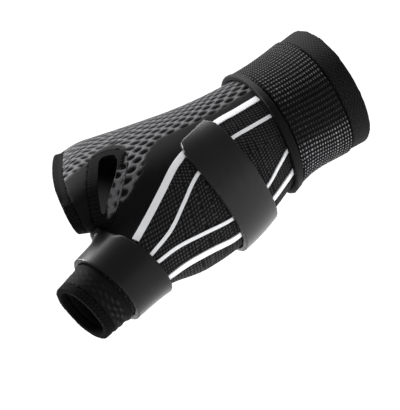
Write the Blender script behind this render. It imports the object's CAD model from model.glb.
import bmesh
import bpy
import numpy as np
from mathutils import Matrix, Vector


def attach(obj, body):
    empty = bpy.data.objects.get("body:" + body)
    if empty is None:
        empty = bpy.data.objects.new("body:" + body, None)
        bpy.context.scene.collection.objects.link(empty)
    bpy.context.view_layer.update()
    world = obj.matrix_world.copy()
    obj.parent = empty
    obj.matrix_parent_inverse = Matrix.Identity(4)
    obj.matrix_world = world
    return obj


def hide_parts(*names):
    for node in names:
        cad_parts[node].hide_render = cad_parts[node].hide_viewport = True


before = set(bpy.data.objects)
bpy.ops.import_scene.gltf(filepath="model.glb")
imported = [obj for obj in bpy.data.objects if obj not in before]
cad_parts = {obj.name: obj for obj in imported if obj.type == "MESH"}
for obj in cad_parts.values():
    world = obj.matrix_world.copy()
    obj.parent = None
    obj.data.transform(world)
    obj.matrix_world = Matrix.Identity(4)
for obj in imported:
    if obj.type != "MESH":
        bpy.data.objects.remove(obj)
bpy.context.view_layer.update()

# Camera
# A long lens that looks from the thumb side, a little from above, and is tilted to its right.
EYE = Vector((-0.239, -0.7445, 0.172))
RIGHT = Vector((0.828, -0.340, -0.446)).normalized()
BACK = Vector((-0.2588, -0.937, 0.2337)).normalized()
UP = BACK.cross(RIGHT).normalized()
PICTURE = (400, 410)
lens = bpy.data.cameras.new("camera")
lens.sensor_width = 36
lens.sensor_fit = "HORIZONTAL"
lens.lens = 184.3
camera = bpy.data.objects.new("camera", lens)
camera.matrix_world = Matrix.Translation(EYE) @ Matrix((RIGHT, UP, BACK)).transposed().to_4x4()
bpy.context.scene.collection.objects.link(camera)
bpy.context.scene.camera = camera

# Knitted sleeve
# The real sleeve is one piece of black three-dimensional knit, drawn over the hand and the thumb.
# Its back is knitted in oval cells with raised walls, and its palm side in a fine dotted knit.
# The straps, hems and bonded stripes all sit on it.

# Rows of centre, half width, half depth and squareness, from the forearm edge to the fingers.
HAND_ROWS = [
    (36.0, 0.0, 0.58, 31.5, 23.25, 2.15),
    (18.0, 0.0, 0.0, 30.75, 21.625, 2.15),
    (0.0, 0.0, 1.2325, 30.0, 20.0, 2.2),
    (-21.9, 2.66, 2.9, 33.84, 19.04, 2.3),
    (-47.45, 10.26, 8.7, 40.2, 15.44, 2.4),
    (-73.0, 19.0, 14.065, 42.0, 13.58, 2.5),
]
# The same from inside the wrist to the thumb edge.
THUMB_ROWS = [
    (14.0, -4.8, -1.8, 6.8, 6.8, 2.1),
    (-10.1, -9.6, -7.02, 17.25, 17.25, 2.1),
    (-30.3, -15.36, -9.36, 20.86, 20.86, 2.1),
    (-50.5, -21.12, -11.16, 19.53, 19.53, 2.1),
    (-70.7, -26.56, -12.42, 14.495, 14.495, 2.1),
    (-101.0, -32.0, -18.0, 12.5, 12.5, 2.1),
]
WEB_FILLET = 14.0
WALL = 2.4
STATIONS = 161
TURNS = 180


def spline(points, share):
    last = len(points) - 1
    held = np.vstack([2 * points[0] - points[1], points, 2 * points[-1] - points[-2]])
    index = np.minimum((share * last).astype(int), last - 1)
    t = (share * last - index)[:, None]
    a, b, c, d = (held[index + step] for step in range(4))
    bend = (2 * a - 5 * b + 4 * c - d) * t**2 + (3 * b - a - 3 * c + d) * t**3
    return 0.5 * (2 * b + (c - a) * t + bend)


def unit(vectors):
    return vectors / np.linalg.norm(vectors, axis=-1, keepdims=True)


class Tube:
    """One tube of the worn form: stations with a centre, three axes and a rounded section."""

    def __init__(self, rows):
        rows = np.array(rows)
        share = np.linspace(0, 1, STATIONS)
        self.centre = spline(rows[:, :3], share)
        self.size = spline(rows[:, 3:], share)
        after = spline(rows[:, :3], np.clip(share + 1e-4, 0, 1))
        before = spline(rows[:, :3], np.clip(share - 1e-4, 0, 1))
        self.ahead = unit(after - before)
        self.side = unit(np.cross([0, 0, 1], self.ahead))
        self.up = np.cross(self.ahead, self.side)
        steps = np.linalg.norm(np.diff(self.centre, axis=0), axis=1)
        self.at = np.concatenate([[0], np.cumsum(steps)])
        self.length = self.at[-1]
        angle = np.linspace(-np.pi, np.pi, TURNS + 1)
        c, s = np.abs(np.cos(angle)), np.abs(np.sin(angle))
        wide, deep, square = (self.size[:, k : k + 1] for k in range(3))
        reach = ((c / wide) ** square + (s / deep) ** square) ** (-1 / square)
        ring = np.stack([reach * np.cos(angle), reach * np.sin(angle)], axis=-1)
        arcs = np.linalg.norm(np.diff(ring, axis=1), axis=2)
        self.arc = np.concatenate([np.zeros((STATIONS, 1)), np.cumsum(arcs, axis=1)], axis=1)

    def between(self, table, at):
        return np.stack([np.interp(at, self.at, column) for column in table.T], axis=1)

    def locate(self, points):
        """Way along, sideways and upwards of each point, with the section's sizes there."""
        coarse = self.centre[::4]
        gaps = (coarse**2).sum(1) - 2 * points @ coarse.T
        nearest = gaps.argmin(1) * 4
        at = self.at[nearest] + ((points - self.centre[nearest]) * self.ahead[nearest]).sum(1)
        held = np.clip(at, 0, self.length)
        centre = self.between(self.centre, held) + self.between(self.ahead, held) * (at - held)[:, None]
        away = points - centre
        side = (away * self.between(self.side, held)).sum(1)
        up = (away * self.between(self.up, held)).sum(1)
        return at, side, up, self.between(self.size, held)

    def distance(self, points):
        _, side, up, size = self.locate(points)
        wide, deep, square = size.T
        gauge = (np.abs(side / wide) ** square + np.abs(up / deep) ** square) ** (1 / square)
        return np.hypot(side, up) * (1 - 1 / np.maximum(gauge, 1e-6))

    def wrap(self, points):
        """Way along and way round from the thumb side, and the length of the whole ring."""
        at, side, up, _ = self.locate(points)
        angle = np.arctan2(up, side)
        row = np.clip(np.interp(at, self.at, np.arange(STATIONS)), 0, STATIONS - 1.001)
        turn = np.clip((angle + np.pi) / (2 * np.pi) * TURNS, 0, TURNS - 0.001)
        low, left = row.astype(int), turn.astype(int)
        down, right = row - low, turn - left
        upper = self.arc[low, left] * (1 - right) + self.arc[low, left + 1] * right
        lower = self.arc[low + 1, left] * (1 - right) + self.arc[low + 1, left + 1] * right
        girth = self.arc[low, -1] * (1 - down) + self.arc[low + 1, -1] * down
        return at, upper * (1 - down) + lower * down, girth


hand, thumb = Tube(HAND_ROWS), Tube(THUMB_ROWS)


def depth(points):
    """How far each point lies outside the worn form."""
    a, b = hand.distance(points), thumb.distance(points)
    overlap = np.maximum(WEB_FILLET - np.abs(a - b), 0)
    return np.minimum(a, b) - overlap**2 / (4 * WEB_FILLET)


def slope(points):
    steps = 0.4 * np.eye(3)
    return np.stack([(depth(points + step) - depth(points - step)) / 0.8 for step in steps], axis=1)


def smooth(value, low, high):
    share = np.clip((value - low) / (high - low), 0, 1)
    return share * share * (3 - 2 * share)


def places(mesh):
    flat = np.empty(len(mesh.vertices) * 3, np.float32)
    mesh.vertices.foreach_get("co", flat)
    return flat.reshape(-1, 3).astype(float) * 1000


def place(mesh, points):
    mesh.vertices.foreach_set("co", (points / 1000).astype(np.float32).ravel())
    mesh.update()


def outward(mesh):
    flat = np.empty(len(mesh.vertices) * 3, np.float32)
    mesh.vertex_normals.foreach_get("vector", flat)
    return flat.reshape(-1, 3).astype(float)


def soften(mesh, points, share, passes):
    """Moves each point towards the middle of its neighbours by its own share."""
    flat = np.empty(len(mesh.edges) * 2, np.int32)
    mesh.edges.foreach_get("vertices", flat)
    a, b = flat.reshape(-1, 2).T
    size = len(points)
    count = np.maximum(np.bincount(a, minlength=size) + np.bincount(b, minlength=size), 1)
    for _ in range(passes):
        total = [np.bincount(a, axis[b], size) + np.bincount(b, axis[a], size) for axis in points.T]
        points = points + share[:, None] * (np.stack(total, axis=1) / count[:, None] - points)
    return points


def even_out(piece, cell):
    """Draws an even mesh of the given cell over a piece."""
    even = piece.modifiers.new("even mesh", "REMESH")
    even.mode = "VOXEL"
    even.voxel_size = cell / 1000
    graph = bpy.context.evaluated_depsgraph_get()
    piece.data = bpy.data.meshes.new_from_object(piece.evaluated_get(graph))
    piece.modifiers.clear()
    piece.data.name = piece.name


def merged_copy(node):
    """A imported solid's mesh, with its loose triangles joined."""
    source = bmesh.new()
    source.from_mesh(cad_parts[node].data)
    bmesh.ops.remove_doubles(source, verts=source.verts, dist=1e-6)
    return source


def put_out(name, drawn):
    """A new piece from a drawn mesh."""
    mesh = bpy.data.meshes.new(name)
    drawn.to_mesh(mesh)
    drawn.free()
    piece = bpy.data.objects.new(name, mesh)
    bpy.context.scene.collection.objects.link(piece)
    return piece


def even_cloth(name, node, cell):
    """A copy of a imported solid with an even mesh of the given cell."""
    piece = put_out(name, merged_copy(node))
    even_out(piece, cell)
    return piece


def lay(piece, outer, inner, rounding):
    """Lays a piece's faces on the smooth form, this far outside it, and rounds its cut edges.
    Returns each point's share on the outer face."""
    mesh = piece.data
    points = places(mesh)
    foot = points.copy()
    for _ in range(3):
        rise = slope(foot)
        foot -= (depth(foot) / np.maximum((rise**2).sum(1), 0.15))[:, None] * rise
    out = unit(slope(foot))
    facing = (outward(mesh) * out).sum(1)
    facing = soften(mesh, facing[:, None], np.full(len(points), 0.5), 1)[:, 0]
    seated = smooth(np.abs(facing), 0.45, 0.8)
    here = ((points - foot) * out).sum(1)
    level = seated * np.where(facing > 0, outer, inner) + (1 - seated) * np.clip(here, inner, outer)
    points += (level - here)[:, None] * out
    near = soften(mesh, seated[:, None], np.full(len(points), 0.7), 2)[:, 0]
    points = soften(mesh, points, 0.55 * smooth(1 - near, 0.05, 0.5), rounding)
    place(mesh, points)
    return smooth(facing, 0.3, 0.8)


def raise_face(piece, amount):
    """Moves each point away from the form by its own amount."""
    points = places(piece.data)
    place(piece.data, points + unit(slope(points)) * amount[:, None])


def note(piece, name, values):
    """Keeps a number or three for each point, which the material reads."""
    kind = "FLOAT" if values.ndim == 1 else "FLOAT_VECTOR"
    kept = piece.data.attributes.new(name, kind, "POINT")
    kept.data.foreach_set("value" if values.ndim == 1 else "vector", values.astype(np.float32).ravel())


def note_weave(piece, tube):
    """Keeps the way along and round the tube, with the turn as a cosine and sine so that it
    closes without a seam."""
    at, way, girth = tube.wrap(places(piece.data))
    turn = 2 * np.pi * way / girth
    note(piece, "weave", np.stack([at, np.cos(turn), np.sin(turn)], axis=1))
    note(piece, "girth", girth)


class Wire:
    """A number in a material, with its maths written as maths."""

    def __init__(self, finish, socket):
        self.finish, self.socket = finish, socket

    def maths(self, operation, *values):
        return self.finish.node("ShaderNodeMath", {"operation": operation}, dict(enumerate(values)))

    def __add__(self, other):
        return self.maths("ADD", self, other)

    def __sub__(self, other):
        return self.maths("SUBTRACT", self, other)

    def __rsub__(self, other):
        return self.maths("SUBTRACT", other, self)

    def __mul__(self, other):
        return self.maths("MULTIPLY", self, other)

    def __truediv__(self, other):
        return self.maths("DIVIDE", self, other)

    def __rtruediv__(self, other):
        return self.maths("DIVIDE", other, self)

    def __pow__(self, other):
        return self.maths("POWER", self, other)

    def __rpow__(self, other):
        return self.maths("POWER", other, self)

    __radd__, __rmul__ = __add__, __mul__

    def wave(self, period):
        """A cosine of this length, from 0 to 1."""
        return self.maths("COSINE", self * (2 * np.pi / period)) * 0.5 + 0.5

    def ramp(self, low, high):
        settings = {"interpolation_type": "SMOOTHSTEP"}
        return self.finish.node("ShaderNodeMapRange", settings, {0: self, 1: low, 2: high})


class Finish:
    """A fabric finish, built up from nodes."""

    def __init__(self, name, slot, **constants):
        self.material = bpy.data.materials.new(name)
        self.material.use_nodes = True
        self.tree = self.material.node_tree
        self.slot = slot
        self.shader = self.tree.nodes["Principled BSDF"]
        for socket, value in constants.items():
            self.shader.inputs[socket.replace("_", " ")].default_value = value

    def node(self, kind, settings, sockets, output=0):
        node = self.tree.nodes.new(kind)
        for key, value in settings.items():
            setattr(node, key, value)
        for key, value in sockets.items():
            if isinstance(value, Wire):
                self.tree.links.new(value.socket, node.inputs[key])
            else:
                node.inputs[key].default_value = value
        return Wire(self, node.outputs[output])

    def kept(self, name, output="Fac"):
        return self.node("ShaderNodeAttribute", {"attribute_name": name}, {}, output)

    def weave(self):
        """Way along and way round in millimetres."""
        kept = self.kept("weave", "Vector")
        at, cosine, sine = (self.node("ShaderNodeSeparateXYZ", {}, {0: kept}, axis) for axis in range(3))
        turn = at.maths("ARCTAN2", sine, cosine) / (2 * np.pi)
        return at, turn * self.kept("girth")

    def cloud(self, scale):
        """Even noise over the object, with about this many lumps in a metre."""
        spot = self.node("ShaderNodeTexCoord", {}, {}, "Object")
        return self.node("ShaderNodeTexNoise", {}, {"Vector": spot, "Scale": scale, "Detail": 3.0})

    def blend(self, share, dark, light):
        return self.node("ShaderNodeMix", {"data_type": "RGBA"}, {0: share, 6: dark, 7: light}, 2)

    def done(self, colour, height, strength, relief):
        """Joins the colour and a bump of this relief to the shader."""
        sockets = {"Height": height, "Strength": strength, "Distance": relief / 1000}
        bump = self.node("ShaderNodeBump", {}, sockets)
        self.tree.links.new(colour.socket, self.shader.inputs["Base Color"])
        self.tree.links.new(bump.socket, self.shader.inputs["Normal"])

    def wear(self, piece, node):
        piece.data.materials.clear()
        piece.data.materials.append(self.material)
        piece.data.shade_smooth()
        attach(piece, "root")
        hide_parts(node)


def grey(value, blue=1.04):
    return (value, value, value * blue, 1)


# The wide back stripe's line, seen from the thumb side: x and z of its middle. The cells stop short
# of it, and of the opening between thumb and finger.
STRIPE_LINE = np.array([
    (6.1, 15.7), (-20.2, 16.2), (-39.4, 12.2), (-46.0, 10.2),
    (-52.5, 6.3), (-60.1, 2.2), (-66.7, -0.4), (-76.8, -6.0),
])
WEB_TOP = np.array([-58.5, -9.5, 24.5])
WEB_ACROSS = np.array([0.807, -0.429, -0.403])
WEB_DOWN = np.array([-0.586, -0.514, -0.626])
PLAIN_RIM = 7.0
CELL_LENGTH = 5.5
CELL_ROWS = 52
CELL_DEPTH = 0.8
CELL_OVAL = (1.75, 2.2)


def over_stripe(points):
    """How far each point lies above the wide back stripe's line, square to it."""
    flat = points[:, [0, 2]]
    near = np.full(len(points), 1e3)
    for start, end in zip(STRIPE_LINE[:-1], STRIPE_LINE[1:]):
        along = end - start
        share = np.clip(((flat - start) @ along) / (along @ along), 0, 1)
        near = np.minimum(near, np.linalg.norm(flat - start - share[:, None] * along, axis=1))
    line = np.interp(points[:, 0], *STRIPE_LINE[::-1].T)
    return np.where(points[:, 2] > line, near, -near)


def from_opening(points):
    """Way across the opening towards its thumb side, and way down from its top."""
    return (points - WEB_TOP) @ WEB_ACROSS, (points - WEB_TOP) @ WEB_DOWN


def back_of_hand(points):
    """1 on the back of the hand, where the knit is in cells, and 0 elsewhere."""
    x, y, z = points.T
    band = 1.6 + 6.4 * smooth(-x, 15, 48)
    near_side = smooth(over_stripe(points), band, band + 2.2)
    far_side = smooth(z - 3 - 0.2 * np.abs(x), 0, 6)
    turn = smooth(y, -12, 12)
    cells = near_side * (1 - turn) + far_side * turn
    across, down = from_opening(points)
    before_web = smooth(-across, -3, 0)
    cells *= 1 - before_web * (1 - smooth(z, 23.5, 25.5)) * (1 - smooth(y, -6, 18))
    plain = 1 - smooth(np.hypot(across, np.minimum(down, 0)), PLAIN_RIM - 1, PLAIN_RIM + 1)
    plain *= 1 - smooth(down + 0.8 * across, 12, 17)
    return smooth(cells * (1 - plain * smooth(z, 0, 5)), 0.2, 0.8)


def dimples(points):
    """1 in the middle of each oval cell and 0 on the walls between. The cells are looser, and less
    even, towards the fingers."""
    at, way, girth = hand.wrap(points)
    pitch = girth / CELL_ROWS
    loose = smooth(at, 70, 95)
    row = way / pitch + loose * 0.35 * np.sin(at / 2.9 + way / 7.0)
    along = at / CELL_LENGTH + (0.05 + 0.12 * loose) * np.sin(way / 3.7 + at / 11.0)
    gap = np.full(len(points), 9.0)
    for half in (0, 0.5):
        across = (row / 2 + half - np.round(row / 2 + half)) * 2 * pitch
        lengthwise = (along + half - np.round(along + half)) * CELL_LENGTH
        gap = np.minimum(gap, np.hypot(across / CELL_OVAL[0], lengthwise / CELL_OVAL[1]))
    return 1 - smooth(gap, 0.4, 1.1)


THUMB_STRAP_INSET = 13.0
sleeve = even_cloth("knitted_sleeve", "knit_sleeve", 0.98)
outer = lay(sleeve, 0.0, -WALL, 1)
points = places(sleeve.data)
past_strap = thumb.locate(points)[0] - (thumb.length - THUMB_STRAP_INSET)
finer = ((back_of_hand(points) > 0.02) | (past_strap > 0)) & (outer > 0.6)
celled = bmesh.new()
celled.from_mesh(sleeve.data)
celled.verts.ensure_lookup_table()
between = [edge for edge in celled.edges if all(finer[vert.index] for vert in edge.verts)]
bmesh.ops.subdivide_edges(celled, edges=between, cuts=1, use_grid_fill=True)
celled.to_mesh(sleeve.data)
celled.free()
points = places(sleeve.data)
outer = smooth((outward(sleeve.data) * unit(slope(points))).sum(1), 0.3, 0.8)
back = back_of_hand(points)
dimple = dimples(points) * back * outer

SNUG_IN = 2.2
SNUG_LENGTH = 11.0


def snug_end(points):
    """How far the cloth closes in on the back of the hand towards the fingers."""
    on_hand = hand.distance(points) < thumb.distance(points)
    near_end = np.clip((hand.locate(points)[0] - hand.length) / SNUG_LENGTH + 1, 0, 1)
    return SNUG_IN * on_hand * near_end**2 * smooth(unit(slope(points))[:, 2], 0.2, 0.8)


# Past the thumb strap the tube is crinkled, and a corded line runs along the strap's edge.
CRINKLE_DEPTH = 0.35
CORD_DEPTH = 0.65
at, way, _ = thumb.wrap(points)
past_strap = at - (thumb.length - THUMB_STRAP_INSET)
on_thumb = (thumb.distance(points) < hand.distance(points)) * smooth(at, 60, 70)
crinkle = np.sin(past_strap * 2.6 + 1.6 * np.sin(way / 2.3)) * np.sin(way / 0.9 + past_strap / 1.6)
crinkle *= smooth(past_strap, 2.6, 3.6) * (1 - smooth(past_strap, 7.5, 9.5))
crinkle *= CRINKLE_DEPTH * (0.3 + 0.7 * smooth(-points[:, 2], 10, 24))
cord = CORD_DEPTH * np.exp(-(((past_strap - 1.5) / 0.8) ** 2))
raise_face(sleeve, (crinkle + cord) * on_thumb * outer - CELL_DEPTH * dimple - snug_end(points))

before_strap = 1 - on_thumb * smooth(past_strap, 0, 1)
note(sleeve, "dimple", dimple)
note(sleeve, "back", back)
note(sleeve, "crinkle", np.maximum(crinkle, 0) * on_thumb * outer)
note(sleeve, "dots", smooth(-over_stripe(points), -2.0, 1.0) * before_strap * outer)
note_weave(sleeve, hand)

knit = Finish("black cell knit", "knit", Roughness=0.85, Specular_IOR_Level=0.07)
along, around = knit.weave()
palm_dots = along.wave(1.15) * around.wave(1.05) * knit.kept("dots")
threads = (along + around * 0.5).wave(0.62)
lint = knit.cloud(1400.0)
walls = knit.kept("back") * (1 - knit.kept("dimple"))
height = palm_dots * 0.8 + threads * 0.2 - knit.kept("dimple") * 0.3
tone = palm_dots * 0.4 + walls * walls * (lint * 0.9 + 0.3) + threads * lint * 0.06
tone += knit.kept("crinkle") * (lint * 0.8 + 0.2)
knit.done(knit.blend(tone, grey(0.003), grey(0.14)), height, 0.7, 0.25)
knit.wear(sleeve, "knit_sleeve")

# Forearm cuff
# A band of fine knit at the forearm edge, thicker than the sleeve and knitted on to it under the
# wrist strap.
CUFF_THICK = 1.7
SEAM_REACH = 0.9


def sew(piece, base, reach):
    """Draws the rim points that lie within reach of another piece up to it, along the cloth, so
    that no light shows between the two."""
    points = places(piece.data)
    out = unit(slope(points))
    graph = bpy.context.evaluated_depsgraph_get()
    for index, point in enumerate(points):
        found, spot, _, _ = base.closest_point_on_mesh(
            Vector(point / 1000), distance=reach / 1000, depsgraph=graph
        )
        if found:
            way = np.array(spot) * 1000 - point
            share = 1 - smooth(np.linalg.norm(way), 0.55 * reach, reach)
            points[index] = point + share * (way - 0.9 * (way @ out[index]) * out[index])
    place(piece.data, points)


cuff = even_cloth("forearm_cuff", "wrist_cuff", 0.6)
lay(cuff, CUFF_THICK, -WALL, 5)
sew(cuff, sleeve, SEAM_REACH)
note_weave(cuff, hand)
cuff_knit = Finish("fine cuff knit", "cuff_knit", Roughness=0.85, Specular_IOR_Level=0.1)
along, around = cuff_knit.weave()
zigzag = (along + around.wave(2.2) * 0.8).wave(1.3)
tone = (zigzag * 0.35 + cuff_knit.cloud(900.0) * 0.5).ramp(0.2, 1.0)
cuff_knit.done(cuff_knit.blend(tone, grey(0.004, 1.1), grey(0.022, 1.1)), zigzag, 0.6, 0.2)
cuff_knit.wear(cuff, "wrist_cuff")

# Hems
# Folded and stitched edges of the same knit, at the fingers, the thumb and the opening between.
# The opening's hem carries the cells on its thumb side, with a column of zigzag stitches by its top.
STITCH_COLUMN = 6.0
STITCH_PITCH = 2.0
STITCH_DEPTH = 0.35


def zigzag_stitches(points):
    """The height of the stitches down the opening's thumb side."""
    across, down = from_opening(points)
    off = across - STITCH_COLUMN
    column = np.exp(-((off / 1.3) ** 2)) * smooth(down, 0, 2) * (1 - smooth(down, 12, 15))
    return STITCH_DEPTH * column * np.cos(2 * np.pi * (down / STITCH_PITCH + 0.3 * np.abs(off)))


hem_knit = Finish("folded hem knit", "hem", Roughness=0.85, Specular_IOR_Level=0.02)
along, around = hem_knit.weave()
stitch = (around + along.wave(1.6) * 0.8).wave(1.6)
walls = hem_knit.kept("back") * (1 - hem_knit.kept("dimple"))
tone = stitch * 0.04 + hem_knit.cloud(1000.0) * 0.02
tone += walls * walls * (hem_knit.cloud(1400.0) * 0.9 + 0.3)
hem_knit.done(hem_knit.blend(tone, grey(0.0015), grey(0.14)), stitch, 0.4, 0.15)
for name, node, tube, at_opening in [
    ("finger_edge_hem", "finger_hem", hand, 0.0),
    ("thumb_edge_hem", "thumb_hem", thumb, 0.0),
    ("web_opening_hem", "web_hem", hand, 1.0),
]:
    hem = even_cloth(name, node, 0.5)
    outer = lay(hem, 0.0, -WALL, 3)
    points = places(hem.data)
    back = back_of_hand(points) * at_opening
    dimple = dimples(points) * back * outer
    stitches = zigzag_stitches(points) * at_opening * outer
    raise_face(hem, stitches - CELL_DEPTH * dimple - snug_end(points))
    sew(hem, sleeve, SEAM_REACH)
    note_weave(hem, tube)
    note(hem, "back", back)
    note(hem, "dimple", dimple)
    hem_knit.wear(hem, node)

# Wrist strap and its binding
# A wide strap of ribbed elastic round the wrist, woven with light flecks, and bound at its finger
# side edge with a smooth folded tape.
STRAP_SEAT = 0.3
STRAP_TOP = 2.4
BINDING_TOP = 2.7
RIB_PITCH = 1.95
RIB_DEPTH = 0.3
strap = even_cloth("ribbed_wrist_strap", "wrist_strap", 0.45)
outer = lay(strap, STRAP_TOP, STRAP_SEAT, 2)
points = places(strap.data)
_, way, girth = hand.wrap(points)
ribs = np.round(girth.mean() / RIB_PITCH)
rib = 0.5 + 0.5 * np.cos(2 * np.pi * way / girth * ribs)
raise_face(strap, (rib - 1) * RIB_DEPTH * outer)
flecked = smooth(-points[:, 2], 4, 9) + 0.45 * smooth(points[:, 2], 9, 15)
note_weave(strap, hand)
note(strap, "rib", rib)
note(strap, "bright", 0.12 + 0.88 * np.clip(flecked, 0, 1))
elastic = Finish("ribbed elastic", "ribbed_elastic", Roughness=0.75, Specular_IOR_Level=0.03)
along, around = elastic.weave()
fleck = along.wave(1.07) ** 3 * elastic.kept("rib") ** 3
tone = fleck * elastic.kept("bright") * (elastic.cloud(1500.0) * 1.2 + 0.3) + elastic.cloud(800.0) * 0.02
elastic.done(elastic.blend(tone, grey(0.0015), grey(0.5)), fleck, 0.6, 0.2)
elastic.wear(strap, "wrist_strap")

binding = even_cloth("wrist_strap_edge_binding", "wrist_strap_binding", 0.4)
lay(binding, BINDING_TOP, STRAP_SEAT, 8)
note_weave(binding, hand)
bound = Finish("smooth edge binding", "binding", Roughness=0.65, Specular_IOR_Level=0.08)
along, around = bound.weave()
threads = around.wave(0.7)
tone = threads * 0.3 + bound.cloud(500.0) * 0.5
bound.done(bound.blend(tone, grey(0.003), grey(0.008)), threads, 0.3, 0.1)
bound.wear(binding, "wrist_strap_binding")

# Smooth straps
# The cross strap over the stripes and the strap round the thumb: dark laminate, smooth and matt,
# drawn tight. The cross strap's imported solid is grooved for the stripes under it, so that the piece
# is made from its outer face alone.
CROSS_SEAT = 0.6
CROSS_THICK = 1.7


def from_outer_face(name, node, thick, cell):
    """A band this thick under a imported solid's outer face."""
    source = merged_copy(node)
    source.normal_update()
    middles = np.array([face.calc_center_median() for face in source.faces]) * 1000
    facing = (np.array([face.normal for face in source.faces]) * unit(slope(middles))).sum(1)
    away = [face for face, share in zip(source.faces, facing) if share < 0.4]
    bmesh.ops.delete(source, geom=away, context="FACES")
    piece = put_out(name, source)
    band = piece.modifiers.new("thickness", "SOLIDIFY")
    band.thickness = thick / 1000
    band.offset = -1
    even_out(piece, cell)
    return piece


laminate = Finish("smooth strap laminate", "smooth_strap", Roughness=0.34, Specular_IOR_Level=0.17)
grain = laminate.cloud(3000.0)
tone = laminate.cloud(60.0) * 0.2 + laminate.kept("lit") * 0.8
laminate.done(laminate.blend(tone, grey(0.003), grey(0.026)), grain, 0.2, 0.04)
cross = from_outer_face("cross_wrist_strap", "cross_strap", CROSS_THICK, 0.45)
lay(cross, STRAP_TOP, CROSS_SEAT, 4)
note(cross, "lit", 0.2 + 0.8 * smooth(-places(cross.data)[:, 2], -14, 8))
laminate.wear(cross, "cross_strap")

thumb_band = even_cloth("thumb_tube_strap", "thumb_strap", 0.45)
lay(thumb_band, STRAP_TOP, STRAP_SEAT, 4)
points = places(thumb_band.data)
in_web = smooth(WEB_FILLET - np.abs(hand.distance(points) - thumb.distance(points)), 0, 6)
place(thumb_band.data, soften(thumb_band.data, points, 0.6 * in_web, 60))
note(thumb_band, "lit", np.zeros(len(points)))
laminate.wear(thumb_band, "thumb_strap")

# Stripes
# Four thin white stripes of bonded film, from the wrist strap to the thumb strap, under the cross
# strap. Each has a width and a line, read off the picture in points from its top left corner, which
# is cast on to the form.
STRIPE_SEAT = 0.05
STRIPE_THICK = 0.5
STRIPE_STEPS = 139
STRIPE_WIDTHS = {"back_wide": 2.7, "back_narrow": 1.35, "palm_narrow": 1.3, "palm_wide": 2.5}
PICTURE_LINES = {
    "back_wide": [
        (258, 98), (237, 110.5), (215, 123.5), (194, 143),
        (176, 164), (162, 191), (149, 216), (135.5, 240),
    ],
    "back_narrow": [
        (271, 115.5), (251, 127), (231, 139), (211, 157),
        (195, 179), (184, 203), (171, 230), (151, 255),
    ],
    "palm_narrow": [
        (289.5, 147), (279, 166), (267, 187), (249, 206),
        (229, 221), (203, 234), (178, 247), (155.5, 264),
    ],
    "palm_wide": [
        (297.5, 165), (286, 182), (272, 201), (254, 221),
        (236, 238), (212, 250.5), (188, 264), (165, 280.5),
    ],
}


def cast(spots, level):
    """Where lines of sight through points of the picture first meet the form at a level."""
    width, height = PICTURE
    across = (spots[:, 0] - width / 2) / width * lens.sensor_width / lens.lens
    down = (spots[:, 1] - height / 2) / width * lens.sensor_width / lens.lens
    ways = unit(across[:, None] * np.array(RIGHT) - down[:, None] * np.array(UP) - np.array(BACK))
    spot = np.array(EYE) * 1000 + ways * 650
    for _ in range(90):
        spot += ways * (0.4 * (depth(spot) - level))[:, None]
    return spot


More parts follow.
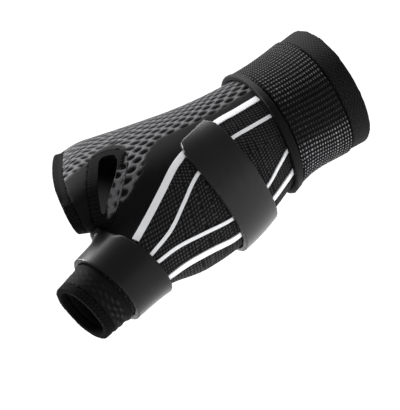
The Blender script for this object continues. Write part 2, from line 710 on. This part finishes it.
film = Finish("white bonded film", "white_stripe", Roughness=0.6)
tone = film.blend(film.cloud(400.0), grey(0.84, 1.03), grey(0.95, 1.03))
film.done(tone, film.cloud(2500.0), 0.15, 0.05)
for side, line in PICTURE_LINES.items():
    middle = cast(spline(np.array(line, float), np.linspace(0, 1, STRIPE_STEPS + 1)), 0.3)
    square = unit(np.cross(slope(middle), np.gradient(middle, axis=0)))
    strip = bmesh.new()
    bmesh.ops.create_grid(strip, x_segments=STRIPE_STEPS, y_segments=4, size=0.5)
    flat = np.array([vert.co for vert in strip.verts])
    step = np.round((flat[:, 0] + 0.5) * STRIPE_STEPS).astype(int)
    spots = middle[step] + square[step] * flat[:, 1:2] * STRIPE_WIDTHS[side]
    for _ in range(3):
        rise = slope(spots)
        spots += ((STRIPE_SEAT + STRIPE_THICK - depth(spots)) / (rise**2).sum(1))[:, None] * rise
    for vert, spot in zip(strip.verts, spots / 1000):
        vert.co = spot
    strip.normal_update()
    bmesh.ops.solidify(strip, geom=strip.faces[:], thickness=STRIPE_THICK / 1000)
    bmesh.ops.recalc_face_normals(strip, faces=strip.faces)
    stripe = put_out(f"white_{side}_stripe", strip)
    film.wear(stripe, f"stripe_{side}")
    stripe.data.shade_flat()

# Room and light
# A pale floor well below the part, which is held up, and soft studio light from above and behind,
# from the left and from low on the right.
floor = bpy.data.objects.new("floor", bpy.data.meshes.new("floor"))
bpy.context.scene.collection.objects.link(floor)
ground = bmesh.new()
bmesh.ops.create_grid(ground, x_segments=1, y_segments=1, size=12)
bmesh.ops.translate(ground, verts=ground.verts, vec=(0, 0, -0.35))
ground.to_mesh(floor.data)
ground.free()
paper = bpy.data.materials.new("pale floor")
paper.use_nodes = True
paper.node_tree.nodes["Principled BSDF"].inputs["Base Color"].default_value = (0.95, 0.95, 0.95, 1)
paper.node_tree.nodes["Principled BSDF"].inputs["Roughness"].default_value = 0.9
floor.data.materials.append(paper)

world = bpy.data.worlds.new("studio")
world.use_nodes = True
world.node_tree.nodes["Background"].inputs["Color"].default_value = (1, 1, 1, 1)
world.node_tree.nodes["Background"].inputs["Strength"].default_value = 0.45
bpy.context.scene.world = world
bpy.context.scene.view_settings.view_transform = "Standard"

MIDDLE = Vector((-0.04, 0, 0))


def lamp(name, kind, way, away, **settings):
    """A light that stands this way (right, up, towards the camera) from the part and faces it."""
    light = bpy.data.lights.new(name, kind)
    for key, value in settings.items():
        setattr(light, key, value)
    stand = bpy.data.objects.new(name, light)
    towards = (RIGHT * way[0] + UP * way[1] + BACK * way[2]).normalized()
    stand.location = MIDDLE + towards * away
    stand.rotation_mode = "QUATERNION"
    stand.rotation_quaternion = towards.to_track_quat("Z", "Y")
    bpy.context.scene.collection.objects.link(stand)


lamp("sky panel", "SUN", (-0.3, 0.85, -0.45), 1.0, energy=3.2, angle=0.6)
lamp("rim panel", "AREA", (-0.85, 0.35, -0.4), 0.6, energy=8.0, size=0.35)
lamp("low panel", "AREA", (0.7, -0.7, 0.2), 0.7, energy=42.0, size=0.6)
